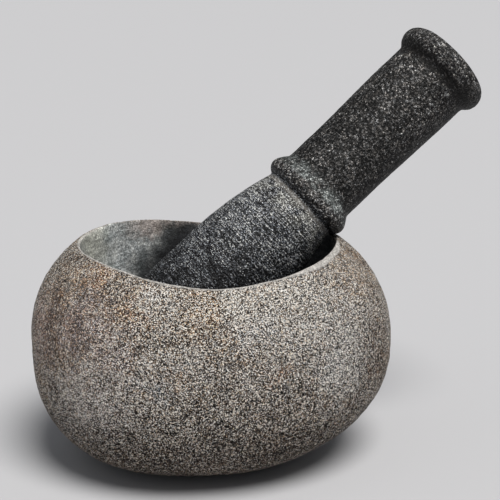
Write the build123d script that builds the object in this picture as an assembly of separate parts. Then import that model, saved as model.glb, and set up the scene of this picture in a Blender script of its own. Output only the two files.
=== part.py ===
"""A stone mortar and its pestle.

The mortar is one river cobble, left natural outside, with its underside ground flat
and a round hollow worked into its crown. The pestle is one turned stone: a club-shaped
head, a bead that hooks on the mortar's rim, a grip and a rolled end. It leans in the
hollow with its head on the floor and its bead on the rim.

Frame: millimetres, +Z up, origin where the hollow's axis meets the table.
Each piece is one solid. The pestle lifts straight up out of the hollow.
"""

import os
from math import asin, cos, pi, radians, sin, tan

from build123d import *

# ---- the cobble: how far it reaches from its spine, at its widest level ----
SPINE_X = -9.3  # the stone's crown is left of the hollow's axis
REACH_LEFT = 78.6
REACH_RIGHT = 101.4
REACH_DEPTH = 80.6  # the same to the front and to the back
WIDEST_Z = 66.2
CROWN_Z = 127.4  # where the stone's top was before the hollow was worked
KEEL_Z = -2.5  # its natural underside, before it was ground flat at Z 0

# Roundness of each quarter of the outline: 2 is an ellipse, and more is fuller.
FULLNESS_LEFT = (2.73, 2.04)  # below the widest level, above it
FULLNESS_RIGHT = (2.46, 2.33)
FULLNESS_DEPTH = (2.60, 2.19)

LATITUDES = (-82, -71, -60, -49, -38, -27, -16, -5, 6, 17, 28, 39, 50, 60, 69)  # degrees
SECTION_POINTS = 20

# ---- the hollow: a ball's lower part, then a wall that flares to the rim ----
HOLLOW_RADIUS = 61.6
HOLLOW_CENTRE_Z = 97.0
WALL_FLARE = 8.0  # degrees out from upright
RIM_ROUND = 2.4
HOLLOW_TOOL_LIFT = 10.0  # the hollow's cutting solid ends this far above the crown

# ---- the pestle, measured along its axis from the tip of its head ----
HEAD_RADIUS = 27.2  # also the radius of the head's ball end
HEAD_STRAIGHT_END = 66.0
NECK_AT = 116.5
NECK_RADIUS = 20.4
BEAD_AT = 122.4
BEAD_RADIUS = 24.6
GRIP_FROM = 128.4
GRIP_FROM_RADIUS = 20.9
GRIP_RADIUS = 21.8  # at the rolled end
ROLL_AT = 215.2
ROLL_RADIUS = 6.8
ROLL_OUTER_RADIUS = 26.0
PESTLE_LENGTH = 223.2
BEAD_FOOT_ROUND = 0.9
ROLL_FOOT_ROUND = 2.0

# ---- how the pestle leans in the hollow ----
LEAN = 41.1  # degrees up from level
LEAN_TOWARDS = 16.0  # degrees from +X towards +Y
HEAD_REST_ANGLE = 57.7  # how far below the hollow's centre the head touches, in degrees
REST_GAP = 0.3  # the stones stay this far apart where they touch


def reach(height, widest, fullness):
    """How far the cobble reaches on one side at this height."""
    below, above = fullness
    if height < WIDEST_Z:
        power, share = below, (WIDEST_Z - height) / (WIDEST_Z - KEEL_Z)
    else:
        power, share = above, (height - WIDEST_Z) / (CROWN_Z - WIDEST_Z)
    return widest * (1 - share**power) ** (1 / power)


def cobble_section(height):
    """The cobble's level outline at this height, as a closed wire."""
    left = reach(height, REACH_LEFT, FULLNESS_LEFT)
    right = reach(height, REACH_RIGHT, FULLNESS_RIGHT)
    depth = reach(height, REACH_DEPTH, FULLNESS_DEPTH)
    points = []
    for k in range(SECTION_POINTS):
        turn = 2 * pi * k / SECTION_POINTS
        side = right if cos(turn) > 0 else left
        points.append((SPINE_X + side * cos(turn), depth * sin(turn), height))
    return Wire([Edge.make_spline([Vector(*p) for p in points], periodic=True)])


def section_heights():
    """Heights of the cobble's sections, closer together where it curves in."""
    heights = []
    for latitude in LATITUDES:
        rise = sin(radians(latitude))
        reach_z = CROWN_Z - WIDEST_Z if rise > 0 else WIDEST_Z - KEEL_Z
        heights.append(WIDEST_Z + reach_z * rise)
    return heights


def cobble():
    """The whole river stone with its underside ground flat."""
    stone = Solid.make_loft([cobble_section(z) for z in section_heights()])
    ground_off = Pos(0, 0, -CROWN_Z / 2) * Box(4 * REACH_RIGHT, 4 * REACH_RIGHT, CROWN_Z)
    return stone - ground_off


def hollow():
    """The space that is worked out of the stone, open above."""
    flare = radians(WALL_FLARE)
    top_z = CROWN_Z + HOLLOW_TOOL_LIFT
    join_r = HOLLOW_RADIUS * cos(flare)
    join_z = HOLLOW_CENTRE_Z - HOLLOW_RADIUS * sin(flare)
    halfway = radians(45)
    middle = (HOLLOW_RADIUS * sin(halfway), HOLLOW_CENTRE_Z - HOLLOW_RADIUS * cos(halfway))
    floor = (0, HOLLOW_CENTRE_Z - HOLLOW_RADIUS)
    rim = (join_r + (top_z - join_z) * tan(flare), top_z)
    outline = (
        ThreePointArc(floor, middle, (join_r, join_z))
        + Line((join_r, join_z), rim)
        + Line(rim, (0, top_z))
        + Line((0, top_z), floor)
    )
    return revolve(Plane.XZ * make_face(outline), Axis.Z)


def mortar():
    """The cobble with its hollow and a softly rounded rim."""
    stone = cobble() - hollow()
    rim = stone.edges().filter_by(lambda e: e.bounding_box().min.Z > WIDEST_Z)
    return fillet(rim, RIM_ROUND)


def grip_end():
    """Where the grip's side meets the rolled end."""
    roll_centre_r = ROLL_OUTER_RADIUS - ROLL_RADIUS
    drop = (ROLL_RADIUS**2 - (GRIP_RADIUS - roll_centre_r) ** 2) ** 0.5
    return (GRIP_RADIUS, ROLL_AT - drop)


def pestle_profile():
    """Half of the pestle's outline, tip at the origin and axis along Y."""
    ball_middle = HEAD_RADIUS * sin(radians(45))
    taper_rise = NECK_AT - HEAD_STRAIGHT_END
    taper_in = HEAD_RADIUS - NECK_RADIUS
    taper_radius = (taper_rise**2 + taper_in**2) / (2 * taper_in)
    half_rise = taper_rise / 2
    taper_middle_r = HEAD_RADIUS - taper_radius + (taper_radius**2 - half_rise**2) ** 0.5
    roll_r = ROLL_OUTER_RADIUS - ROLL_RADIUS
    roll_top = (roll_r, ROLL_AT + ROLL_RADIUS)
    dome_rise = PESTLE_LENGTH - roll_top[1]
    dome_radius = (roll_r**2 + dome_rise**2) / (2 * dome_rise)
    half_turn = asin(roll_r / dome_radius) / 2
    end_middle = (
        dome_radius * sin(half_turn),
        PESTLE_LENGTH - dome_radius * (1 - cos(half_turn)),
    )
    return (
        ThreePointArc((0, 0), (ball_middle, HEAD_RADIUS - ball_middle), (HEAD_RADIUS, HEAD_RADIUS))
        + Line((HEAD_RADIUS, HEAD_RADIUS), (HEAD_RADIUS, HEAD_STRAIGHT_END))
        + ThreePointArc(
            (HEAD_RADIUS, HEAD_STRAIGHT_END),
            (taper_middle_r, HEAD_STRAIGHT_END + half_rise),
            (NECK_RADIUS, NECK_AT),
        )
        + ThreePointArc((NECK_RADIUS, NECK_AT), (BEAD_RADIUS, BEAD_AT), (GRIP_FROM_RADIUS, GRIP_FROM))
        + Line((GRIP_FROM_RADIUS, GRIP_FROM), grip_end())
        + ThreePointArc(grip_end(), (ROLL_OUTER_RADIUS, ROLL_AT), roll_top)
        + ThreePointArc(roll_top, end_middle, (0, PESTLE_LENGTH))
        + Line((0, PESTLE_LENGTH), (0, 0))
    )


def upright_pestle():
    """The turned pestle standing on its tip, with soft corners at the bead and the roll."""
    body = revolve(Plane.XZ * make_face(pestle_profile()), Axis.Z)

    def rings_near(height):
        return body.edges().filter_by(
            lambda e: e.geom_type == GeomType.CIRCLE and abs(e.bounding_box().max.Z - height) < 0.01
        ).filter_by(lambda e: e.bounding_box().size.Z < 0.01)

    body = fillet(rings_near(NECK_AT) + rings_near(GRIP_FROM), BEAD_FOOT_ROUND)
    return fillet(rings_near(grip_end()[1]), ROLL_FOOT_ROUND)


def lean_in_hollow(body):
    """The pestle as it rests: ball end against the hollow, leaning back over the rim."""
    throw = HOLLOW_RADIUS - HEAD_RADIUS - REST_GAP
    ball_out = -throw * cos(radians(HEAD_REST_ANGLE))
    ball_z = HOLLOW_CENTRE_Z - throw * sin(radians(HEAD_REST_ANGLE))
    at_ball_centre = Pos(0, 0, -HEAD_RADIUS) * body
    leaning = Pos(ball_out, 0, ball_z) * Rot(0, 90 - LEAN, 0) * at_ball_centre
    return Rot(0, 0, LEAN_TOWARDS) * leaning


def main():
    os.makedirs("parts", exist_ok=True)
    export_step(mortar(), "parts/mortar.step")
    export_step(lean_in_hollow(upright_pestle()), "parts/pestle.step")


main()
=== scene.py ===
"""A mortar worked from one river cobble, and its turned pestle: the finished stones, light and camera.

The shapes are worked out in millimetres, in the row frame, and made in metres.
"""

from math import asin, cos, hypot, log, pi, radians, sin, tan

import bmesh
import bpy
import numpy as np
from mathutils import Matrix, Vector, noise


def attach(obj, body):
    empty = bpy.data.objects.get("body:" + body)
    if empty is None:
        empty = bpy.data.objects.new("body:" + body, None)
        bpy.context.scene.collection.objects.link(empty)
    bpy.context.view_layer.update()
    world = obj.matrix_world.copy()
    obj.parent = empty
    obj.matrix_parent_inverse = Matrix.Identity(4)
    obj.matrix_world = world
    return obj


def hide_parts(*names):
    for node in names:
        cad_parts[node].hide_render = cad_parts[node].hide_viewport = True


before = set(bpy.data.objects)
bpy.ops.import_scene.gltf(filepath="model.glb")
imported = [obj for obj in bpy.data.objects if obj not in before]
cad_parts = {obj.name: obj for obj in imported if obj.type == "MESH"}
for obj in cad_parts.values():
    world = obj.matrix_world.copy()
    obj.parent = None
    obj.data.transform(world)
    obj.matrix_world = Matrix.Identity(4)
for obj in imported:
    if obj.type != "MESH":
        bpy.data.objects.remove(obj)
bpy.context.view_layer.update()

MM = 0.001

# ---- the cobble, as in the CAD model ----
SPINE_X = -9.3
REACH_LEFT = 78.6
REACH_RIGHT = 101.4
REACH_DEPTH = 80.6
WIDEST_Z = 66.2
CROWN_Z = 127.4
KEEL_Z = -2.5
FULLNESS_LEFT = (2.73, 2.04)
FULLNESS_RIGHT = (2.46, 2.33)
FULLNESS_DEPTH = (2.60, 2.19)

# ---- the hollow ----
HOLLOW_RADIUS = 61.6
HOLLOW_CENTRE_Z = 97.0
WALL_FLARE = 8.0  # degrees outwards from upright
LIP_FLARE = 1.0  # how much further the wall opens near its top
LIP_FLARE_FROM = 90.0
LIP_FLARE_RISE = 14.0
LIP_RADIUS = 64.3  # it opens no further than this
LEFT_LIP_IN = 2.4  # and less than that on the left
LEFT_LIP_SHARES = (0.2, 0.9)  # of the way left, between which it comes in
BELOW_HOLLOW = 30.0  # a height that is under all of it

# ---- the pestle ----
HEAD_RADIUS = 27.2
HEAD_STRAIGHT_END = 66.0
NECK_AT = 116.5
NECK_RADIUS = 20.4
BEAD_RADIUS = 24.6
GRIP_FROM = 128.4
GRIP_WAIST_RADIUS = 20.85
GRIP_RADIUS = 21.75
ROLL_AT = 215.2
ROLL_RADIUS = 6.8
ROLL_OUTER_RADIUS = 25.75
ROLL_FILLET = 3.5  # between the grip and the roll
PESTLE_LENGTH = 222.9
LEAN = 41.1  # degrees above level
LEAN_TOWARDS = 16.0  # degrees round from +X
HEAD_REST_ANGLE = 57.7  # degrees below level, from the hollow's centre to the middle of the ball end
REST_GAP = 0.3  # between the ball end and the hollow


# ---------------------------------------------------------------- mesh tools


def smooth_step(value, low, high):
    """0 below low, 1 above high, and an easy curve between them."""
    share = np.clip((value - low) / (high - low), 0.0, 1.0)
    return share * share * (3 - 2 * share)


def azimuths(count):
    """Evenly spaced angles that start at a corner of a square."""
    return -pi / 4 + np.arange(count) * 2 * pi / count


def disc_grid(side):
    """Share of the radius, and angle, of each point of a square grid that is spread over a disc."""
    line = np.linspace(-1, 1, side + 1)
    across, along = np.meshgrid(line, line, indexing="ij")
    wide = np.abs(across) >= np.abs(along)
    longer = np.where(wide, across, along)
    shorter = np.where(wide, along, across)
    ratio = np.divide(shorter, longer, out=np.zeros_like(shorter), where=longer != 0)
    angle = np.where(wide, ratio, 2 - ratio) * pi / 4
    return np.abs(longer), angle + pi * (longer < 0)


class Cap:
    """How one end of a skin is closed: points(share, angle) over a ring of count vertices."""

    def __init__(self, count, points):
        self.count = count
        self.points = points


def cap_faces(vertices, ring, cap):
    """Adds the inner points of a disc over a ring, and returns the faces that close it.

    ring is the index of the ring's first vertex.
    """
    count = cap.count
    side = count // 4
    share, angle = disc_grid(side)
    numbers = np.zeros_like(share, dtype=int)
    on_edge = np.isclose(share, 1.0)
    step = 2 * pi / count
    numbers[on_edge] = ring + np.round((angle[on_edge] + pi / 4) / step).astype(int) % count
    inside = ~on_edge
    start = sum(len(block) for block in vertices)
    numbers[inside] = start + np.arange(inside.sum())
    vertices.append(cap.points(share[inside], angle[inside]))
    corners = (numbers[:-1, :-1], numbers[1:, :-1], numbers[1:, 1:], numbers[:-1, 1:])
    return np.stack([c.ravel() for c in corners], axis=1)


def closed_skin(name, rings, first, last):
    """One closed mesh from an array of rings of points, with first and last as its caps."""
    ring_count, count, _ = rings.shape
    vertices = [rings.reshape(-1, 3)]
    ring = np.arange(ring_count - 1)[:, None] * count
    here = np.arange(count)[None, :]
    following = (here + 1) % count
    corners = (ring + here, ring + following, ring + count + following, ring + count + here)
    faces = [np.stack([np.broadcast_to(c, (ring_count - 1, count)).ravel() for c in corners], axis=1)]
    faces.append(cap_faces(vertices, 0, first))
    faces.append(cap_faces(vertices, (ring_count - 1) * count, last))
    mesh = bpy.data.meshes.new(name)
    points = np.concatenate(vertices) * MM
    mesh.from_pydata(points.tolist(), [], np.concatenate(faces).tolist())
    model = bmesh.new()
    model.from_mesh(mesh)
    bmesh.ops.recalc_face_normals(model, faces=model.faces)
    model.to_mesh(mesh)
    model.free()
    mesh.polygons.foreach_set("use_smooth", [True] * len(mesh.polygons))
    piece = bpy.data.objects.new(name, mesh)
    bpy.context.scene.collection.objects.link(piece)
    return piece


def carve(piece, relief):
    """Moves each vertex along its normal by relief(point), which works in millimetres."""
    mesh = piece.data
    moved = np.zeros(len(mesh.vertices) * 3)
    for number, vertex in enumerate(mesh.vertices):
        point = vertex.co / MM
        moved[3 * number : 3 * number + 3] = vertex.co + vertex.normal * relief(point) * MM
    mesh.vertices.foreach_set("co", moved)
    mesh.update()


def along(line, distance):
    """Points at these distances along a line of points."""
    steps = np.hypot(*np.diff(line, axis=0).T)
    travelled = np.concatenate([[0.0], np.cumsum(steps)])
    return np.stack([np.interp(distance, travelled, line[:, k]) for k in (0, 1)], axis=1)


def length_of(line):
    return np.hypot(*np.diff(line, axis=0).T).sum()


# ---------------------------------------------------------------- the mortar

MORTAR_SECTORS = 384
WALL_RINGS = 118
LIP_RINGS = 10
HOLLOW_RINGS = 70
FLOOR_CAP_ANGLE = 25.0  # degrees of the ball's bottom that one grid covers
FINE = 240  # points of the curves that the rings are spaced along

RIM_ABOVE = 90.0  # a height that is under all of the rim
HALVINGS = 40  # of the search for the rim's height

# Ways round the rim, in degrees from +X, where its edge is worn back more than elsewhere.
RESTED = -12
BEAD_LIES = 14.3
BACK = 130
FRONT_LEFT = 215
EVEN_WEAR = 0.8  # millimetres, all round


def reach(height, widest, fullness):
    """How far the cobble reaches on one side at this height."""
    below, above = fullness
    under = height < WIDEST_Z
    power = np.where(under, below, above)
    share = np.where(
        under,
        (WIDEST_Z - height) / (WIDEST_Z - KEEL_Z),
        (height - WIDEST_Z) / (CROWN_Z - WIDEST_Z),
    )
    return widest * np.maximum(1 - share**power, 0) ** (1 / power)


def cobble_radius(angle, height):
    """How far the cobble reaches from the hollow's axis, towards an angle, at this height."""
    depth = reach(height, REACH_DEPTH, FULLNESS_DEPTH)
    radii = []
    for side in (
        reach(height, REACH_RIGHT, FULLNESS_RIGHT),
        reach(height, REACH_LEFT, FULLNESS_LEFT),
    ):
        a = (np.cos(angle) / side) ** 2 + (np.sin(angle) / depth) ** 2
        b = np.cos(angle) * SPINE_X / side**2
        c = (SPINE_X / side) ** 2 - 1
        radii.append((b + np.sqrt(b * b - a * c)) / a)
    on_right = radii[0] * np.cos(angle) >= SPINE_X
    return np.where(on_right, radii[0], radii[1])


def wall_join():
    """Radius and height where the hollow's ball becomes its flaring wall."""
    flare = radians(WALL_FLARE)
    return HOLLOW_RADIUS * cos(flare), HOLLOW_CENTRE_Z - HOLLOW_RADIUS * sin(flare)


def hollow_radius(height, angle):
    """The hollow's radius at a height on its flaring wall, towards an angle."""
    join_r, join_z = wall_join()
    lip = LIP_FLARE * smooth_step(height, LIP_FLARE_FROM, LIP_FLARE_FROM + LIP_FLARE_RISE)
    limit = LIP_RADIUS - LEFT_LIP_IN * smooth_step(-cos(angle), *LEFT_LIP_SHARES)
    return np.minimum(join_r + (height - join_z) * tan(radians(WALL_FLARE)) + lip, limit)


def rim_height(angle):
    """Where the hollow's wall comes out of the cobble's crown."""
    low, high = RIM_ABOVE, CROWN_Z - 1.0
    for _ in range(HALVINGS):
        middle = (low + high) / 2
        if cobble_radius(angle, middle) > hollow_radius(middle, angle):
            low = middle
        else:
            high = middle
    return low


def outer_line(angle, top):
    """The cobble's upright outline towards an angle, from the foot's edge to the rim."""
    start = -asin(WIDEST_Z / (WIDEST_Z - KEEL_Z))
    end = asin((top - WIDEST_Z) / (CROWN_Z - WIDEST_Z))
    latitude = np.linspace(start, end, FINE)
    half = np.where(latitude < 0, WIDEST_Z - KEEL_Z, CROWN_Z - WIDEST_Z)
    height = WIDEST_Z + half * np.sin(latitude)
    return np.stack([cobble_radius(angle, height), height], axis=1)


def inner_line(angle, top):
    """The hollow's outline towards an angle, from the rim down to where its floor's cap begins."""
    _, join_z = wall_join()
    height = np.linspace(top, join_z, FINE // 2)
    wall = np.stack([hollow_radius(height, angle), height], axis=1)
    turn = np.radians(np.linspace(90 - WALL_FLARE, FLOOR_CAP_ANGLE, FINE // 2))
    ball = np.stack(
        [HOLLOW_RADIUS * np.sin(turn), HOLLOW_CENTRE_Z - HOLLOW_RADIUS * np.cos(turn)], axis=1
    )
    return np.concatenate([wall, ball[1:]])


def facing(angle, way, none, full):
    """1 where the cosine between an angle and a way is above full, easing to 0 where it is below none."""
    return smooth_step(cos(angle - radians(way)), none, full)


def lip_wear(angle):
    """How far the rim's edge is worn back at an angle, most where the bead lies and in chips."""
    rested = 1.5 * facing(angle, RESTED, 0.35, 0.95)
    rested += 3.0 * facing(angle, BEAD_LIES, 0.94, 0.99)
    front = 3.2 * facing(angle, FRONT_LEFT, 0.1, 0.6)
    back = 1.9 * facing(angle, BACK, 0.2, 0.8)
    place = Vector((cos(angle), sin(angle), 0.0))
    uneven = noise.fractal(place * 5.0, 1.0, 2.0, 3)
    chip = max(0.0, noise.noise(place * 11.0 + Vector((3.0, 1.0, 7.0))) - 0.28)
    return EVEN_WEAR + rested + max(front, back) + 0.5 * uneven + 2.4 * chip


def mortar_profile(angle):
    """The stone's whole section towards an angle: up the outside, over the lip and down the hollow."""
    top = rim_height(angle)
    outer = outer_line(angle, top)
    inner = inner_line(angle, top)
    wear = lip_wear(angle)
    outer_length = length_of(outer)
    wall = along(outer, np.linspace(0, outer_length - wear, WALL_RINGS))
    bowl = along(inner, np.linspace(wear, length_of(inner), HOLLOW_RINGS))
    share = np.linspace(0, 1, LIP_RINGS + 2)[1:-1, None]
    corner = outer[-1]
    lip = (1 - share) ** 2 * wall[-1] + 2 * share * (1 - share) * corner + share**2 * bowl[0]
    return np.concatenate([wall, lip, bowl])


def foot_points(share, angle):
    radius = share * cobble_radius(angle, np.zeros_like(angle))
    return np.stack([radius * np.cos(angle), radius * np.sin(angle), 0 * angle], axis=1)


def floor_points(share, angle):
    turn = share * radians(FLOOR_CAP_ANGLE)
    out = HOLLOW_RADIUS * np.sin(turn)
    height = HOLLOW_CENTRE_Z - HOLLOW_RADIUS * np.cos(turn)
    return np.stack([out * np.cos(angle), out * np.sin(angle), height], axis=1)


def bell(distance):
    """1 in the middle, easing to 0 at a distance of 1."""
    near = max(0.0, 1 - distance)
    return near * near * (3 - 2 * near)


PIT_REACH = 0.42  # share of a cell's size


def pits(point, size, depth, share):
    """Shallow round pits: depth in millimetres at a pit's middle, and the share of cells that have one."""
    distances, centres = noise.voronoi(point / size)
    if abs(noise.cell(centres[0] * 7.3)) > share:
        return 0.0
    return -depth * bell(distances[0] / PIT_REACH)


HONED_EDGE = (64.5, 67.0)  # distances from the axis over which honed stone gives way to natural


def in_hollow(point):
    """How much a point of the mortar belongs to the worked hollow, from 0 to 1."""
    radius = hypot(point.x, point.y)
    if point.z < BELOW_HOLLOW:
        return 0.0
    return float(1 - smooth_step(radius, *HONED_EDGE))


BULGES = (  # middle, reach and height of the cobble's broad swellings and hollows
    (Vector((92, -5, 50)), 42, 1.1),
    (Vector((84, 0, 92)), 36, -1.2),
    (Vector((-88, 0, 72)), 44, -0.7),
    (Vector((-12, -52, 3)), 40, -0.9),
)


def bulge(point):
    """The stone's own swellings at a point."""
    total = 0.0
    for middle, size, height in BULGES:
        total += height * bell((point - middle).length / size)
    return total


def mortar_relief(point):
    """Water-worn outside, honed inside, and dead flat on the foot."""
    worked = in_hollow(point)
    swell = bulge(point) + 0.3 * noise.fractal(point / 34, 1.0, 2.0, 2)
    grit = 0.2 * noise.fractal(point / 5.0, 0.8, 2.0, 4)
    dents = pits(point, 9.0, 0.5, 0.35) + pits(point + Vector((5, 9, 2)), 4.5, 0.35, 0.3)
    honed = 0.10 * noise.fractal(point / 14, 1.0, 2.0, 2) + 0.03 * noise.fractal(point / 3, 1.0, 2.0, 2)
    outside = (swell + grit + dents) * float(smooth_step(point.z, 0.0, 5.0))
    return outside * (1 - worked) + honed * worked


def make_mortar():
    angles = azimuths(MORTAR_SECTORS)
    profiles = np.stack([mortar_profile(angle) for angle in angles], axis=1)
    radius, height = profiles[..., 0], profiles[..., 1]
    rings = np.stack([radius * np.cos(angles), radius * np.sin(angles), height], axis=2)
    foot = Cap(MORTAR_SECTORS, foot_points)
    floor = Cap(MORTAR_SECTORS, floor_points)
    piece = closed_skin("mortar_stone", rings, foot, floor)
    carve(piece, mortar_relief)
    return piece


# ---------------------------------------------------------------- the pestle

PESTLE_SECTORS = 240
PESTLE_RINGS = 316
TIP_CAP_ANGLE = 26.0  # degrees of the ball end that one grid covers
END_CAP_RADIUS = 14.0


def arc(centre, radius, start, end):
    """Points of an arc in the pestle's half section, with angles in degrees from outwards."""
    turn = np.radians(np.linspace(start, end, FINE))
    return np.stack([centre[0] + radius * np.cos(turn), centre[1] + radius * np.sin(turn)], axis=1)


def head_line():
    """Ball end, straight side and the long taper to the neck."""
    rise = NECK_AT - HEAD_STRAIGHT_END
    narrowing = HEAD_RADIUS - NECK_RADIUS
    radius = (rise**2 + narrowing**2) / (2 * narrowing)
    ball = arc((0, HEAD_RADIUS), HEAD_RADIUS, TIP_CAP_ANGLE - 90, 0)
    taper_turn = np.degrees(asin(rise / radius))
    taper = arc((HEAD_RADIUS - radius, HEAD_STRAIGHT_END), radius, 0, taper_turn)
    return np.concatenate([ball, taper])


def bead_line():
    """The bead: a steep side towards the head and an easy one towards the grip."""
    share = np.linspace(0, 1, FINE)[1:]
    base = NECK_RADIUS + (GRIP_WAIST_RADIUS - NECK_RADIUS) * share
    bulge = np.sin(pi * share**0.78) ** 0.85
    return np.stack([base + (BEAD_RADIUS - base) * bulge, NECK_AT + (GRIP_FROM - NECK_AT) * share], axis=1)


def grip_line(end):
    """The grip, slimmest just past the bead."""
    height = np.linspace(GRIP_FROM, end, FINE)[1:]
    swell = smooth_step(height, GRIP_FROM + 20, GRIP_FROM + 65)
    return np.stack([GRIP_WAIST_RADIUS + (GRIP_RADIUS - GRIP_WAIST_RADIUS) * swell, height], axis=1)


def end_dome():
    """Radius of the shallow dome on the pestle's end, and its centre's height."""
    roll_r = ROLL_OUTER_RADIUS - ROLL_RADIUS
    rise = PESTLE_LENGTH - ROLL_AT - ROLL_RADIUS
    radius = (roll_r**2 + rise**2) / (2 * rise)
    return radius, PESTLE_LENGTH - radius


def pestle_line():
    """The pestle's half section from the edge of its tip's cap to the edge of its end's cap."""
    roll_r = ROLL_OUTER_RADIUS - ROLL_RADIUS
    fillet_out = GRIP_RADIUS + ROLL_FILLET
    fillet_down = np.sqrt((ROLL_RADIUS + ROLL_FILLET) ** 2 - (fillet_out - roll_r) ** 2)
    foot_turn = -np.degrees(np.arctan2(fillet_down, fillet_out - roll_r))
    fillet = arc((fillet_out, ROLL_AT - fillet_down), ROLL_FILLET, 180, 180 + foot_turn)
    roll = arc((roll_r, ROLL_AT), ROLL_RADIUS, foot_turn, 90)
    radius, centre = end_dome()
    edge = np.degrees(asin(roll_r / radius))
    inner = np.degrees(asin(END_CAP_RADIUS / radius))
    dome = arc((0, centre), radius, 90 - edge, 90 - inner)
    grip = grip_line(fillet[0, 1])
    return np.concatenate([head_line(), bead_line(), grip, fillet[1:], roll[1:], dome[1:]])


def soften(line, passes):
    """Rounds the corners of evenly spaced points, ends held."""
    for _ in range(passes):
        line = np.concatenate([line[:1], (line[:-2] + 2 * line[1:-1] + line[2:]) / 4, line[-1:]])
    return line


def tip_points(share, angle):
    turn = share * radians(TIP_CAP_ANGLE)
    out = HEAD_RADIUS * np.sin(turn)
    return np.stack([out * np.cos(angle), out * np.sin(angle), HEAD_RADIUS * (1 - np.cos(turn))], axis=1)


def end_points(share, angle):
    radius, centre = end_dome()
    out = share * END_CAP_RADIUS
    height = centre + np.sqrt(radius**2 - out**2)
    return np.stack([out * np.cos(angle), out * np.sin(angle), height], axis=1)


def pestle_relief(point):
    """Rings left by turning, a slightly uneven hand finish, and small pits on the grip."""
    rings = 0.05 * noise.fractal(Vector((point.x / 40, point.y / 40, point.z / 1.6)), 0.6, 2.0, 3)
    uneven = 0.16 * noise.fractal(point / 17, 1.0, 2.0, 2)
    grit = 0.07 * noise.fractal(point / 3.2, 0.8, 2.0, 3)
    on_grip = float(smooth_step(point.z, NECK_AT, GRIP_FROM))
    dents = pits(point, 4.2, 0.3, 0.25) * (0.3 + 0.7 * on_grip)
    return rings + uneven + grit + dents


def pestle_place():
    """Where the pestle's own frame, tip at its origin, lies in the row frame."""
    throw = HOLLOW_RADIUS - HEAD_RADIUS - REST_GAP
    out = -throw * cos(radians(HEAD_REST_ANGLE))
    height = HOLLOW_CENTRE_Z - throw * sin(radians(HEAD_REST_ANGLE))
    towards = Matrix.Rotation(radians(LEAN_TOWARDS), 4, "Z")
    ball = Matrix.Translation(Vector((out, 0, height)) * MM)
    lean = Matrix.Rotation(radians(90 - LEAN), 4, "Y")
    tip = Matrix.Translation(Vector((0, 0, -HEAD_RADIUS)) * MM)
    return towards @ ball @ lean @ tip


def make_pestle():
    line = pestle_line()
    line = soften(along(line, np.linspace(0, length_of(line), PESTLE_RINGS)), 2)
    angles = azimuths(PESTLE_SECTORS)
    radius, height = line[:, :1], line[:, 1:]
    level = height + 0 * angles
    rings = np.stack([radius * np.cos(angles), radius * np.sin(angles), level], axis=2)
    tip = Cap(PESTLE_SECTORS, tip_points)
    end = Cap(PESTLE_SECTORS, end_points)
    piece = closed_skin("pestle_stone", rings, tip, end)
    carve(piece, pestle_relief)
    piece.matrix_world = pestle_place()
    return piece


# ---------------------------------------------------------------- materials


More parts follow.
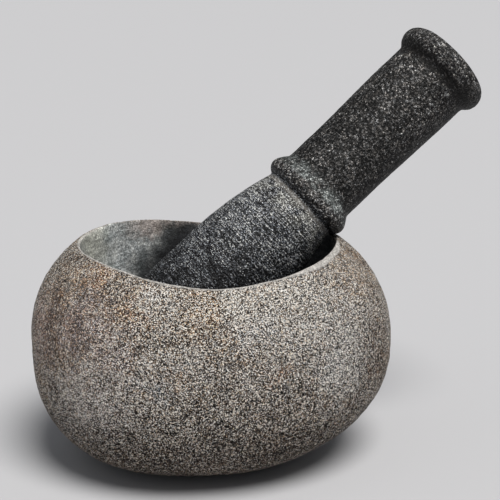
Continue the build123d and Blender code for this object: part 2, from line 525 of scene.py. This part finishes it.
class Graph:
    """A material's nodes, made one call at a time. Inputs are numbers, colours or other nodes' outputs."""

    def __init__(self, name):
        self.material = bpy.data.materials.new(name)
        self.material.use_nodes = True
        self.tree = self.material.node_tree
        self.tree.nodes.clear()

    def node(self, kind, inputs=(), **settings):
        made = self.tree.nodes.new(kind)
        for key, value in settings.items():
            setattr(made, key, value)
        for key, value in dict(inputs).items():
            if isinstance(value, bpy.types.NodeSocket):
                self.tree.links.new(value, made.inputs[key])
            else:
                made.inputs[key].default_value = value
        return made

    def math(self, operation, first, second=0.0, third=0.0):
        made = self.node("ShaderNodeMath", {0: first, 1: second, 2: third}, operation=operation)
        return made.outputs[0]

    def vector(self, operation, first, second=(0, 0, 0), output="Vector"):
        made = self.node("ShaderNodeVectorMath", {0: first, 1: second}, operation=operation)
        return made.outputs[output]

    def noise(self, vector, scale, detail, rough, output="Fac"):
        inputs = {"Vector": vector, "Scale": scale, "Detail": detail, "Roughness": rough}
        return self.node("ShaderNodeTexNoise", inputs).outputs[output]

    def cells(self, vector, scale, output="Color"):
        """Random cells: each one's colour, or the distance from its middle."""
        return self.node("ShaderNodeTexVoronoi", {"Vector": vector, "Scale": scale}).outputs[output]

    def one(self, colour, channel="Red"):
        """One number from a colour of three random ones."""
        return self.node("ShaderNodeSeparateColor", {"Color": colour}).outputs[channel]

    def add(self, first, second, times):
        """first + second * times."""
        return self.math("MULTIPLY_ADD", second, times, first)

    def times(self, first, *others):
        for other in others:
            first = self.math("MULTIPLY", first, other)
        return first

    def total(self, start, *changes):
        """start plus each value times the number that comes with it."""
        for value, times in changes:
            start = self.add(start, value, times)
        return start

    def most(self, first, *others):
        """The largest of some values."""
        for other in others:
            first = self.math("MAXIMUM", first, other)
        return first

    def one_axis(self, point, axis):
        return self.node("ShaderNodeSeparateXYZ", {"Vector": point}).outputs[axis]

    def height(self, point):
        return self.one_axis(point, "Z")

    def tint(self, colour, other):
        """One colour multiplied by another."""
        return self.mix(1.0, colour, other, "MULTIPLY")

    def lit(self, colour, brightness):
        """A colour multiplied by a number."""
        grey = self.node("ShaderNodeCombineColor", {0: brightness, 1: brightness, 2: brightness})
        return self.tint(colour, grey.outputs["Color"])

    def fade(self, value, low, high, to_low=0.0, to_high=1.0):
        """to_low where the value is low or past it, to_high where it is high or past it, easing between."""
        inputs = {"Value": value, 1: low, 2: high, 3: to_low, 4: to_high}
        made = self.node("ShaderNodeMapRange", inputs, interpolation_type="SMOOTHSTEP")
        return made.outputs[0]

    def mix(self, share, first, second, blend="MIX"):
        """first where the share is 0, and second where it is 1. Both are colours."""
        inputs = {0: share, 6: first, 7: second}
        made = self.node("ShaderNodeMix", inputs, data_type="RGBA", blend_type=blend)
        return made.outputs[2]

    def ramp(self, value, levels, colours):
        """A colour that passes through each of the colours as the value passes its level."""
        made = self.node("ShaderNodeValToRGB", {"Fac": value})
        elements = made.color_ramp.elements
        while len(elements) < len(levels):
            elements.new(0.5)
        for element, level, colour in zip(elements, levels, colours):
            element.position = level
            element.color = colour
        return made.outputs["Color"]

    def wander(self, point, scale, detail, rough, reach):
        """The point moved at random, so that what is placed by it gets a ragged outline."""
        push = self.noise(point, scale, detail, rough, output="Color")
        push = self.vector("SUBTRACT", push, (0.5, 0.5, 0.5))
        return self.vector("ADD", point, self.vector("MULTIPLY", push, (reach, reach, reach)))

    def patch(self, point, centre, size):
        """1 at a place on the stone, easing to 0 at size from it, in millimetres."""
        distance = self.vector("DISTANCE", point, centre, output="Value")
        return self.fade(distance, size, 0.15 * size)


def rgb(red, green, blue):
    """A colour given as it looks on a screen, 0 to 255, as the shader wants it."""
    linear = []
    for value in (red, green, blue):
        share = value / 255
        linear.append(share / 12.92 if share <= 0.04045 else ((share + 0.055) / 1.055) ** 2.4)
    return (*linear, 1.0)


# Colours of the cobble: its broad tones, then what lies on them.
WEATHERED = (rgb(102, 94, 87), rgb(126, 117, 109), rgb(148, 140, 133))
RUST = rgb(144, 117, 95)
# Painted shade towards the bottom of the cobble.
BOTTOM_SHADE_COLOUR = rgb(56, 49, 44)
DARK_CRYSTAL = rgb(34, 30, 28)
PALE_CRYSTAL = rgb(220, 209, 195)
SMALL_PALE_CRYSTAL = rgb(226, 217, 205)

# Colours of the hollow and the rim.
BARE_WALL = (rgb(62, 64, 66), rgb(82, 84, 85), rgb(104, 106, 104))
DUSTY_LIT_WALL = (rgb(117, 124, 124), rgb(150, 153, 153), rgb(190, 192, 188))
PALE_LIT_WALL = rgb(182, 182, 170)
BROWN_CREST = rgb(158, 146, 140)
# Near-black colour of the painted shadow and painted shade in the hollow.
SHADOW_WALL = rgb(15, 16, 18)
# Pale polish and painted highlight on the rim's crest.
POLISHED_LIT_RIM = rgb(176, 172, 167)

# Colours of the pestle.
CHARCOAL = rgb(51, 53, 56)
HEAD_DUST = rgb(112, 111, 106)
NECK_LINE = rgb(120, 116, 110)
GRIP_BLACK = rgb(40, 40, 40)
GRIP_DUST = rgb(92, 96, 95)
# Dirt and painted shade in the pestle's two corners.
DIRT_AND_SHADE = rgb(18, 17, 16)

FLOOR_GREY = rgb(186, 186, 188)

# The brightest that a crystal gets, as shares of red, green and blue.
COBBLE_BRIGHTEST = (0.82, 0.79, 0.74)
GRANITE_BRIGHTEST = (0.72, 0.72, 0.68)

NATURAL_ROUGHNESS = 0.88
HONED_ROUGHNESS = 0.60
GRANITE_ROUGHNESS = 0.62
SPECULAR = 0.15
COBBLE_BUMP = 0.0006  # metres
GRANITE_BUMP = 0.00035


def own_point(graph):
    """The point on the stone in millimetres, in the piece's own frame."""
    place = graph.node("ShaderNodeTexCoord").outputs["Object"]
    return graph.vector("MULTIPLY", place, (1 / MM, 1 / MM, 1 / MM))


def stone_shader(graph, colour, roughness, height, distance):
    """Ends a stone's nodes: bump from its height, and a matt surface."""
    bump = graph.node("ShaderNodeBump", {"Height": height, "Strength": 1.0, "Distance": distance})
    shader = graph.node(
        "ShaderNodeBsdfPrincipled",
        {
            "Base Color": colour,
            "Roughness": roughness,
            "Specular IOR Level": SPECULAR,
            "Normal": bump.outputs["Normal"],
        },
    )
    graph.node("ShaderNodeOutputMaterial", {"Surface": shader.outputs["BSDF"]})


def crystals(graph, point, layers):
    """Brightness around 1 that changes at random from crystal to crystal.

    Each layer gives its crystals per millimetre, and how many times brighter its brightest one is
    than its darkest.
    """
    total = 0.0
    for size, contrast in layers:
        share = graph.math("SUBTRACT", graph.one(graph.cells(point, size)), 0.5)
        total = graph.add(total, share, log(contrast))
    return graph.math("EXPONENT", total)


def crystal_tint(graph, point, size, warmth):
    """A warm or cool colour for each crystal, a little more often warm."""
    share = graph.one(graph.cells(point, size), "Green")
    return graph.mix(share, (1 + warmth, 1.0, 1 - warmth, 1), (1.06 - warmth, 1.0, 0.94 + warmth, 1))


# Layers of each surface's crystals, as crystals() takes them.
COBBLE_CRYSTALS = ((1.0, 1.8), (1.9, 3.8), (3.2, 2400.0))
HOLLOW_CRYSTALS = ((0.9, 1.8), (1.8, 3.0))
RIM_CRYSTALS = ((0.9, 1.6), (1.8, 2.4))
HEAD_CRYSTALS = ((0.9, 3.0), (1.6, 12.0), (3.0, 1500.0))
GRIP_CRYSTALS = ((0.9, 10.0), (1.5, 20.0), (2.4, 30.0))

# Places on the stones for patch(): a middle and a reach in millimetres.
WORN_SHOULDER = ((-64, -52, 86), 56)
WORN_CROWN = ((66, -22, 106), 34)
ROUGH_SHADED_SIDE = ((80, -40, 60), 50)
DUST_AND_LIGHT_AT = ((-56, 30, 102), 64)
PALE_LIT_AT = ((-61, 14, 106), 30)
BROWN_AT = ((-22, 60, 106), 40)
# Painted shadow of the pestle on the hollow's back wall.
PESTLE_SHADOW_AT = (
    ((-29, 50, 78), 28),
    ((-16, 60, 93), 25),
    ((-24, 54, 84), 25),
    ((-27, 44, 62), 32),
    ((-18, 34, 48), 36),
)
# Painted shade towards the bottom of the hollow.
BOTTOM_AT = ((10, 0, 40), 78)
RESTED_RIM = ((60, -26, 110), 42)
UNRUBBED_RIM = ((67, 4, 112), 24)
BACK_RIM = ((-30, 60, 108), 64)
FRONT_RIM = ((-34, -56, 106), 72)
HEAD_SHADE_AT = ((-4, -30, 66), 34)

# Partly real stains; the dark ones low down also paint the shade of the underside.
STAINS = (  # middle and reach in millimetres, colour, strength
    ((-52, -62, 84), 28, (146, 131, 126), 0.85),
    ((-80, -32, 74), 30, (142, 120, 112), 0.85),
    ((-52, -66, 50), 30, (200, 185, 176), 0.9),
    ((-47, -48, 107), 12, (172, 140, 120), 0.8),
    ((-30, -70, 94), 17, (142, 118, 102), 0.8),
    ((-23, -70, 98), 7, (214, 206, 198), 0.9),
    ((2, -69, 99), 11, (166, 142, 121), 0.85),
    ((-3, -76, 88), 10, (150, 130, 113), 0.8),
    ((15, -68, 99), 11, (222, 212, 198), 0.95),
    ((34, -67, 96), 30, (182, 173, 163), 0.85),
    ((24, -74, 86), 14, (182, 178, 175), 0.9),
    ((52, -60, 88), 34, (156, 152, 147), 0.85),
    ((-20, -80, 62), 11, (106, 112, 116), 0.8),
    ((34, -73, 65), 9, (176, 134, 108), 0.9),
    ((66, -53, 63), 22, (214, 209, 204), 0.9),
    ((66, -22, 106), 24, (158, 149, 140), 0.7),
    ((86, -34, 62), 38, (58, 47, 40), 0.95),
    ((10, -78, 66), 26, (104, 98, 93), 0.6),
    ((-36, -75, 74), 18, (160, 146, 141), 0.7),
    ((38, -71, 46), 22, (84, 79, 75), 0.7),
    ((69, -46, 38), 22, (92, 84, 78), 0.7),
    ((44, -60, 30), 40, (66, 60, 54), 0.8),
    ((2, -78, 42), 34, (70, 66, 62), 0.65),
    ((-38, -68, 34), 18, (70, 64, 59), 0.6),
    ((40, -72, 56), 26, (98, 92, 87), 0.7),
)


def weathered_tone(graph, point):
    """The broad tones that water and handling left on the cobble, with painted shade towards the bottom."""
    wandering = graph.wander(point, 0.08, 3.0, 0.5, 26)
    tone = graph.ramp(graph.noise(point, 0.05, 5.0, 0.6), (0.34, 0.5, 0.66), WEATHERED)
    rust = graph.fade(graph.noise(wandering, 0.055, 4.0, 0.65), 0.54, 0.68)
    tone = graph.mix(graph.times(rust, 0.65), tone, RUST)
    mottle = graph.fade(graph.noise(point, 0.2, 4.0, 0.7), 0.35, 0.65, 0.5, 1.1)
    for centre, size, colour, strength in STAINS:
        share = graph.times(graph.patch(wandering, centre, size), mottle, strength)
        tone = graph.mix(share, tone, rgb(*colour))
    # Painted shade: darker towards the bottom, where the underside faces away from the light.
    bottom_shade = graph.fade(graph.height(wandering), 72, 8)
    return graph.mix(graph.times(bottom_shade, 0.9), tone, BOTTOM_SHADE_COLOUR)


def spots(graph, point, size, share):
    """Round spots in a share of the cells, of which there are size to the millimetre."""
    chosen = graph.fade(graph.one(graph.cells(point, size)), 1 - share, 1 - 0.8 * share)
    return graph.times(chosen, graph.fade(graph.cells(point, size, "Distance"), 0.5, 0.3))


def cobble_skin(graph, point):
    """Colour of the outside, and where its larger pale crystals are.

    The crystals differ less where the stone is worn smooth and more where it is rough.
    It is also painted darker towards the bottom and on the lower right, as painted shade.
    """
    worn = graph.most(graph.patch(point, *WORN_SHOULDER), graph.patch(point, *WORN_CROWN))
    low = graph.fade(graph.height(point), 76, 24)
    rough = graph.most(low, graph.patch(point, *ROUGH_SHADED_SIDE))
    harsh = graph.total(1.0, (worn, -0.5), (rough, 0.6))
    clusters = graph.fade(graph.noise(point, 0.12, 5.0, 0.8), 0.33, 0.67, 0.55, 1.4)
    shade = graph.math("POWER", crystals(graph, point, COBBLE_CRYSTALS), harsh)
    crevices = graph.fade(graph.cells(point, 2.0, "Distance"), 0.3, 0.7, 1.2, 0.75)
    # Painted shade: the stone is darker towards the bottom and on the rough lower right.
    level = graph.total(0.34, (rough, -0.245), (low, -0.045), (worn, 0.17))
    shade = graph.times(shade, clusters, crevices, level)
    skin = graph.lit(weathered_tone(graph, point), shade)
    skin = graph.tint(skin, crystal_tint(graph, point, 1.5, 0.21))
    ragged = graph.wander(point, 1.3, 2.0, 0.5, 1.6)
    dark = graph.most(spots(graph, ragged, 0.42, 0.06), spots(graph, ragged, 0.85, 0.06))
    skin = graph.mix(graph.times(dark, 0.75), skin, DARK_CRYSTAL)
    pale = spots(graph, ragged, 0.62, 0.08)
    skin = graph.mix(graph.times(pale, 0.7), skin, PALE_CRYSTAL)
    small = spots(graph, ragged, 1.1, 0.15)
    skin = graph.mix(graph.times(small, 0.8), skin, SMALL_PALE_CRYSTAL)
    return graph.vector("MINIMUM", skin, COBBLE_BRIGHTEST), pale


def hollow_skin(graph, point):
    """Colour of the ground hollow: cool grey, dusty and painted lighter on the left, with the pestle's
    painted shadow behind it and painted shade towards the bottom.
    """
    wandering = graph.wander(point, 0.07, 4.0, 0.65, 40)
    # Dust and painted light: the left wall, where light falls, is made paler.
    dust = graph.patch(point, *DUST_AND_LIGHT_AT)
    cloud = graph.noise(point, 0.12, 5.0, 0.75)
    levels = (0.36, 0.52, 0.66)
    skin = graph.mix(dust, graph.ramp(cloud, levels, BARE_WALL), graph.ramp(cloud, levels, DUSTY_LIT_WALL))
    # Painted light: a paler patch at the left end of the wall.
    pale = graph.times(graph.patch(wandering, *PALE_LIT_AT), 0.75)
    skin = graph.mix(pale, skin, PALE_LIT_WALL)
    crest = graph.fade(graph.height(wandering), 98, 108)
    crest = graph.times(crest, graph.patch(point, *BROWN_AT), 0.75)
    skin = graph.mix(crest, skin, BROWN_CREST)
    # Painted shadow of the pestle on the back wall, with a ragged edge.
    drift = graph.wander(point, 0.07, 4.0, 0.65, 14)
    painted_shade = [graph.patch(drift, *place) for place in PESTLE_SHADOW_AT]
    # Painted shade towards the bottom joins the painted shadow, mixed in as a near-black wall colour.
    dark = graph.most(*painted_shade, graph.patch(wandering, *BOTTOM_AT))
    skin = graph.mix(graph.times(dark, 0.96), skin, SHADOW_WALL)
    skin = graph.lit(skin, crystals(graph, point, HOLLOW_CRYSTALS))
    rubbed = graph.noise(graph.vector("MULTIPLY", point, (0.05, 0.05, 0.5)), 1.0, 4.0, 0.7)
    return graph.lit(skin, graph.fade(rubbed, 0.35, 0.7, 0.8, 1.4))


def hollow_masks(graph, point):
    """Where the stone is ground, and the pale band of polish and painted highlight on the rim."""
    radius = graph.vector("LENGTH", graph.vector("MULTIPLY", point, (1, 1, 0)), output="Value")
    ragged = graph.math("SUBTRACT", graph.noise(point, 0.5, 3.0, 0.7), 0.5)
    rested = graph.patch(point, *RESTED_RIM)
    unrubbed = graph.patch(point, *UNRUBBED_RIM)
    behind = graph.patch(point, *BACK_RIM)
    before = graph.patch(point, *FRONT_RIM)

    # The lip comes in on the left, and the bounds below with it.
    left = graph.fade(graph.one_axis(point, "X"), -13, -58)
    radius = graph.add(radius, left, LEFT_LIP_IN)
    edge = graph.total(radius, (ragged, 1.4), (rested, -2.2), (unrubbed, 1.4), (behind, 0.8), (before, -0.9))
    ground = graph.fade(edge, 66.0, 64.9)
    ground = graph.times(ground, graph.fade(graph.height(point), BELOW_HOLLOW - 2, BELOW_HOLLOW + 2))
    # The pale band on the lip's crest: polish and a painted highlight, less at the back.
    crest = graph.times(graph.fade(graph.height(point), 99, 102), graph.fade(radius, 64.4, 64.8))
    return ground, graph.times(ground, crest, graph.add(1.0, behind, -0.7))


def river_stone():
    graph = Graph("river_stone")
    point = own_point(graph)
    outside, pale = cobble_skin(graph, point)
    ground, polished_and_lit = hollow_masks(graph, point)
    # Pale rim band: polish and a painted highlight.
    polish_and_highlight = graph.lit(POLISHED_LIT_RIM, crystals(graph, point, RIM_CRYSTALS))
    inside = graph.mix(graph.times(polished_and_lit, 0.8), hollow_skin(graph, point), polish_and_highlight)
    colour = graph.mix(ground, outside, inside)
    rough = graph.add(NATURAL_ROUGHNESS, ground, HONED_ROUGHNESS - NATURAL_ROUGHNESS)
    dome = graph.math("SUBTRACT", 1.0, graph.cells(point, 1.5, "Distance"))
    relief = graph.times(graph.add(dome, pale, 0.6), graph.add(1.0, ground, -0.8))
    stone_shader(graph, colour, rough, relief, COBBLE_BUMP)
    return graph.material


def ring_band(graph, height, start, full_from, full_to, end):
    """1 between two heights on the pestle, easing to 0 at the outer two."""
    return graph.times(graph.fade(height, start, full_from), graph.fade(height, end, full_to))


def granite_head(graph, point, height):
    """Colour of the head: charcoal, scored round by its turning, with pale crystals and stone dust, and
    painted shade on its front and towards the tip.
    """
    turned = graph.vector("MULTIPLY", point, (0.9, 0.9, 1.25))
    shade = crystals(graph, turned, HEAD_CRYSTALS)
    scores = graph.noise(graph.vector("MULTIPLY", point, (0.07, 0.07, 1.0)), 1.6, 2.0, 0.6)
    scores = graph.math("POWER", 3000.0, graph.math("SUBTRACT", scores, 0.5))
    clouds = graph.fade(graph.noise(point, 0.1, 5.0, 0.7), 0.3, 0.7, 0.5, 1.5)
    # Painted shade: a patch on the head's front, and darker towards the tip, where it lies down in the
    # hollow.
    painted_shade = graph.add(1.0, graph.patch(point, *HEAD_SHADE_AT), -0.72)
    shade = graph.times(shade, scores, clouds, graph.fade(height, 34, 84, 0.1, 0.5), painted_shade)
    head = graph.tint(graph.lit(CHARCOAL, shade), crystal_tint(graph, turned, 1.35, 0.08))
    ring = ring_band(graph, height, NECK_AT - 18, NECK_AT - 6, NECK_AT - 3, NECK_AT - 1)
    dust = graph.times(ring, graph.fade(graph.noise(point, 0.14, 5.0, 0.75), 0.42, 0.60))
    dusty = graph.lit(HEAD_DUST, graph.add(0.3, shade, 0.45))
    head = graph.mix(graph.times(dust, 0.65), head, dusty)
    line = ring_band(graph, height, NECK_AT - 3.6, NECK_AT - 2.4, NECK_AT - 1, NECK_AT - 0.2)
    return graph.mix(graph.times(line, 0.5), head, NECK_LINE)


def granite_grip(graph, point, height):
    """Colour of the grip: brownish black with pale crystals, rubbed and painted lighter on the bead, and
    dusty just past it.
    """
    shade = crystals(graph, point, GRIP_CRYSTALS)
    clouds = graph.fade(graph.noise(point, 0.12, 4.0, 0.7), 0.3, 0.7, 0.55, 1.45)
    # Wear and painted light: the bead's head-side flank and crest, which face away from the key light, are
    # made lighter.
    rubbed = ring_band(graph, height, NECK_AT + 1, NECK_AT + 4, NECK_AT + 6.5, NECK_AT + 9)
    shade = graph.times(shade, clouds, graph.add(0.58, rubbed, 0.6), graph.fade(height, 160, 205, 1.0, 1.47))
    flecks = graph.times(
        graph.fade(graph.one(graph.cells(point, 0.6)), 0.80, 1.0),
        graph.fade(graph.cells(point, 0.6, "Distance"), 0.45, 0.25),
    )
    shade = graph.add(shade, flecks, 3.5)
    grip = graph.tint(graph.lit(GRIP_BLACK, shade), crystal_tint(graph, point, 0.85, 0.08))
    dust = ring_band(graph, height, NECK_AT + 6, NECK_AT + 9, NECK_AT + 11, NECK_AT + 16)
    dust = graph.times(dust, graph.fade(graph.noise(point, 0.1, 4.0, 0.7), 0.36, 0.58))
    dusty = graph.lit(GRIP_DUST, graph.add(0.5, shade, 0.7))
    return graph.mix(graph.times(dust, 0.8), grip, dusty)


def dark_granite():
    graph = Graph("dark_granite")
    point = own_point(graph)
    height = graph.height(point)
    on_grip = graph.fade(height, NECK_AT - 1, NECK_AT + 3)
    colour = graph.mix(on_grip, granite_head(graph, point, height), granite_grip(graph, point, height))

    # Dirt and painted shade in the two corners that a cloth doesn't reach.
    neck = ring_band(graph, height, NECK_AT - 0.4, NECK_AT + 0.2, NECK_AT + 0.8, NECK_AT + 1.8)
    foot = ring_band(graph, height, ROLL_AT - 12, ROLL_AT - 8, ROLL_AT - 5, ROLL_AT - 2)
    dirt_and_shade = graph.add(graph.times(neck, 0.5), foot, 0.8)
    colour = graph.mix(dirt_and_shade, colour, DIRT_AND_SHADE)
    # Painted shade on the pestle's +X side, the side that faces down.
    under = graph.fade(graph.one_axis(point, "X"), 0, 21, 1.0, 0.5)
    colour = graph.vector("MINIMUM", graph.lit(colour, under), GRANITE_BRIGHTEST)

    rings = graph.noise(graph.vector("MULTIPLY", point, (0.04, 0.04, 1.0)), 1.4, 3.0, 0.7)
    dome = graph.math("SUBTRACT", 1.0, graph.cells(point, 0.85, "Distance"))
    stone_shader(graph, colour, GRANITE_ROUGHNESS, graph.add(dome, rings, 0.6), GRANITE_BUMP)
    return graph.material


def pale_floor():
    graph = Graph("pale_floor")
    shader = graph.node("ShaderNodeBsdfPrincipled", {"Base Color": FLOOR_GREY, "Roughness": 0.8})
    graph.node("ShaderNodeOutputMaterial", {"Surface": shader.outputs["BSDF"]})
    return graph.material


# ---------------------------------------------------------------- floor, light, camera

CAMERA_TARGET = (21.82, 0.0, 105.77)
CAMERA_DISTANCE = 646.73
CAMERA_DOWN = 14.0  # degrees
LENS = 93.6
FLOOR_HALF = 6.0  # metres


def make_floor():
    mesh = bpy.data.meshes.new("floor")
    corners = [(x * FLOOR_HALF, y * FLOOR_HALF, 0) for x, y in ((-1, -1), (1, -1), (1, 1), (-1, 1))]
    mesh.from_pydata(corners, [], [(0, 1, 2, 3)])
    floor = bpy.data.objects.new("floor", mesh)
    floor.data.materials.append(pale_floor())
    bpy.context.scene.collection.objects.link(floor)


def sun_light(name, place, power, softness, colour):
    """Even light from the direction of a place, softness degrees wide."""
    data = bpy.data.lights.new(name, "SUN")
    data.energy = power
    data.angle = radians(softness)
    data.color = colour
    lamp = bpy.data.objects.new(name, data)
    lamp.rotation_euler = Vector(place).to_track_quat("Z", "Y").to_euler()
    bpy.context.scene.collection.objects.link(lamp)


def make_light():
    sun_light("key", (0.25, -0.50, 1.0), 3.9, 30, (1.0, 0.985, 0.965))
    sun_light("fill", (-0.9, -0.5, 0.6), 0.2, 80, (0.93, 0.96, 1.0))
    world = bpy.data.worlds.new("studio")
    world.use_nodes = True
    world.node_tree.nodes["Background"].inputs["Color"].default_value = (0.92, 0.95, 1.0, 1.0)
    world.node_tree.nodes["Background"].inputs["Strength"].default_value = 0.2
    bpy.context.scene.world = world
    bpy.context.scene.view_settings.view_transform = "Standard"


def make_camera():
    data = bpy.data.cameras.new("camera")
    data.lens = LENS
    data.sensor_width = 36.0
    data.clip_start = 0.01
    camera = bpy.data.objects.new("camera", data)
    down = radians(CAMERA_DOWN)
    back = Vector((0, -cos(down), sin(down))) * CAMERA_DISTANCE
    camera.location = (Vector(CAMERA_TARGET) + back) * MM
    camera.rotation_euler = (pi / 2 - down, 0, 0)
    bpy.context.scene.collection.objects.link(camera)
    bpy.context.scene.camera = camera


# ---------------------------------------------------------------- the scene


def dress(piece, node, material):
    """Puts a finished stone in place of its CAD node."""
    piece.data.materials.append(material)
    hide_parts(node)
    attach(piece, node)


make_floor()
make_light()
make_camera()
dress(make_mortar(), "mortar", river_stone())
dress(make_pestle(), "pestle", dark_granite())
